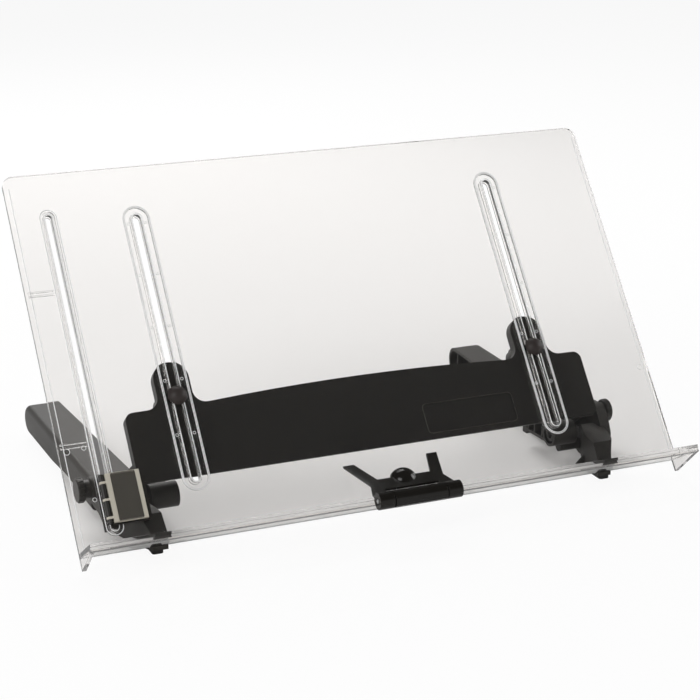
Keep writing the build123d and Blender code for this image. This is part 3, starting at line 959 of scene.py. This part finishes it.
@dataclass
class Studio:
    """The pale floor, the soft lights and the camera.

    Args:
        space: The panel's directions.
        camera_from_panel: The camera's place from the panel's lower rear edge.
        camera_right: The camera's rightward direction.
        camera_up: The camera's upward direction.
        lens: Focal length in millimetres.
        sensor_width: Width of the camera's sensor in millimetres.
        sight_end: How far the camera sees.
        floor_half: Half the floor's width.
        floor_white: Brightness of the matt floor.
        floor_glow: Share of plain white in the floor as the camera sees it.
        floor_glow_through: The same share, seen in a reflection or through the panel.
        room_low: Strength of the surround near the floor.
        room_high: Strength of the surround overhead.
        dimming: Heights, as shares of straight up, where the surround starts and ends dimming.
        softboxes: The soft lights.
        aim: The point that the lights face.
    """

    space: PanelSpace
    camera_from_panel: tuple = (-0.5071, -1.1099, 0.5117)
    camera_right: tuple = (0.9204, -0.3909, -0.0033)
    camera_up: tuple = (0.1214, 0.2778, 0.9529)
    lens: float = 96.67
    sensor_width: float = 36.0
    sight_end: float = 50.0
    floor_half: float = 8.0
    floor_white: float = 0.9
    floor_glow: float = 0.92
    floor_glow_through: float = 0.2
    room_low: float = 0.8
    room_high: float = 0.12
    dimming: tuple = (0.15, 0.55)
    softboxes: tuple = (
        Softbox("key_softbox", (-1.3, -0.9, 1.1), 1.0, 18.0),
        Softbox("rear_softbox", (0.1, 1.4, 1.3), 1.2, 22.0),
        Softbox("side_softbox", (1.7, -0.2, 0.8), 0.8, 12.0),
    )
    aim: tuple = (0.0, 0.0, 0.1)

    def build(self) -> None:
        """Makes the floor, the light and the camera."""
        self.add_floor()
        self.add_world()
        for softbox in self.softboxes:
            self.add_light(softbox)
        self.add_camera()

    def add_floor(self) -> None:
        """Adds the floor, which shows as white and keeps a faint shadow."""
        half = self.floor_half
        mesh = bpy.data.meshes.new("floor")
        corners = [(-half, -half, 0), (half, -half, 0), (half, half, 0), (-half, half, 0)]
        mesh.from_pydata(corners, [], [(0, 1, 2, 3)])
        floor = bpy.data.objects.new("floor", mesh)
        bpy.context.scene.collection.objects.link(floor)
        material = bpy.data.materials.new("white_paper_sweep")
        material.use_nodes = True
        tree = material.node_tree
        tree.nodes.clear()
        paper = (self.floor_white, self.floor_white, self.floor_white, 1)
        matt = add_node(tree, "ShaderNodeBsdfDiffuse", {"in:Color": paper}, {})
        glow = add_node(tree, "ShaderNodeEmission", {"in:Color": (1, 1, 1, 1)}, {})
        path = add_node(tree, "ShaderNodeLightPath", {}, {})
        seen = add_node(
            tree,
            "ShaderNodeMath",
            {"operation": "MULTIPLY", "in:1": self.floor_glow},
            {0: path.outputs["Is Camera Ray"]},
        )
        bent = add_node(
            tree,
            "ShaderNodeMath",
            {"operation": "MAXIMUM"},
            {0: path.outputs["Is Glossy Ray"], 1: path.outputs["Is Transmission Ray"]},
        )
        through = add_node(
            tree,
            "ShaderNodeMath",
            {"operation": "MULTIPLY", "in:1": self.floor_glow_through},
            {0: bent.outputs[0]},
        )
        share = add_node(
            tree,
            "ShaderNodeMath",
            {"operation": "MAXIMUM"},
            {0: seen.outputs[0], 1: through.outputs[0]},
        )
        mixed = add_node(
            tree,
            "ShaderNodeMixShader",
            {},
            {0: share.outputs[0], 1: matt.outputs[0], 2: glow.outputs[0]},
        )
        add_node(tree, "ShaderNodeOutputMaterial", {}, {"Surface": mixed.outputs[0]})
        mesh.materials.append(material)

    def add_world(self) -> None:
        """Adds a surround that looks white and is dimmer overhead as a light."""
        world = bpy.data.worlds.new("white_sweep_under_a_dim_ceiling")
        world.use_nodes = True
        tree = world.node_tree
        background = tree.nodes["Background"]
        place = add_node(tree, "ShaderNodeTexCoord", {}, {})
        parts = add_node(tree, "ShaderNodeSeparateXYZ", {}, {0: place.outputs["Generated"]})
        climb = add_node(
            tree,
            "ShaderNodeMapRange",
            {
                "interpolation_type": "SMOOTHSTEP",
                "in:From Min": self.dimming[0],
                "in:From Max": self.dimming[1],
                "in:To Min": self.room_low,
                "in:To Max": self.room_high,
            },
            {"Value": parts.outputs["Z"]},
        )
        path = add_node(tree, "ShaderNodeLightPath", {}, {})
        strength = add_node(
            tree,
            "ShaderNodeMath",
            {"operation": "MAXIMUM"},
            {0: climb.outputs["Result"], 1: path.outputs["Is Camera Ray"]},
        )
        tree.links.new(strength.outputs[0], background.inputs["Strength"])
        background.inputs["Color"].default_value = (1, 1, 1, 1)
        bpy.context.scene.world = world

    def add_light(self, softbox: Softbox) -> None:
        """Adds one soft light, facing the panel.

        Args:
            softbox: The light's place, size and power.
        """
        lamp = bpy.data.lights.new(softbox.name, "AREA")
        lamp.size = softbox.side
        lamp.energy = softbox.watts
        light = bpy.data.objects.new(softbox.name, lamp)
        light.location = softbox.place
        aim = Vector(self.aim) - Vector(softbox.place)
        light.rotation_euler = aim.to_track_quat("-Z", "Y").to_euler()
        bpy.context.scene.collection.objects.link(light)

    def add_camera(self) -> None:
        """Adds the camera at the photograph's angle."""
        right = Vector(self.camera_right).normalized()
        back = right.cross(Vector(self.camera_up)).normalized()
        up = back.cross(right)
        turn = Matrix((right, up, back)).transposed().to_4x4()
        camera = bpy.data.objects.new("camera", bpy.data.cameras.new("camera"))
        camera.data.lens = self.lens
        camera.data.sensor_width = self.sensor_width
        camera.data.clip_end = self.sight_end
        camera.matrix_world = (
            Matrix.Translation(self.space.origin + Vector(self.camera_from_panel)) @ turn
        )
        bpy.context.scene.collection.objects.link(camera)
        bpy.context.scene.camera = camera


def main() -> None:
    """Builds the holder's looks and the studio."""
    logging.basicConfig(level=logging.INFO, format="%(message)s")
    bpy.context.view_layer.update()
    space = PanelSpace.from_frame()
    ClearPanel(space).build()
    BarAndLegs(space).build()
    Fasteners().build()
    PageClip().build()
    SideClip(space).build()
    Studio(space).build()
    bpy.context.scene.view_settings.view_transform = "Standard"


if __name__ == "__main__":
    main()
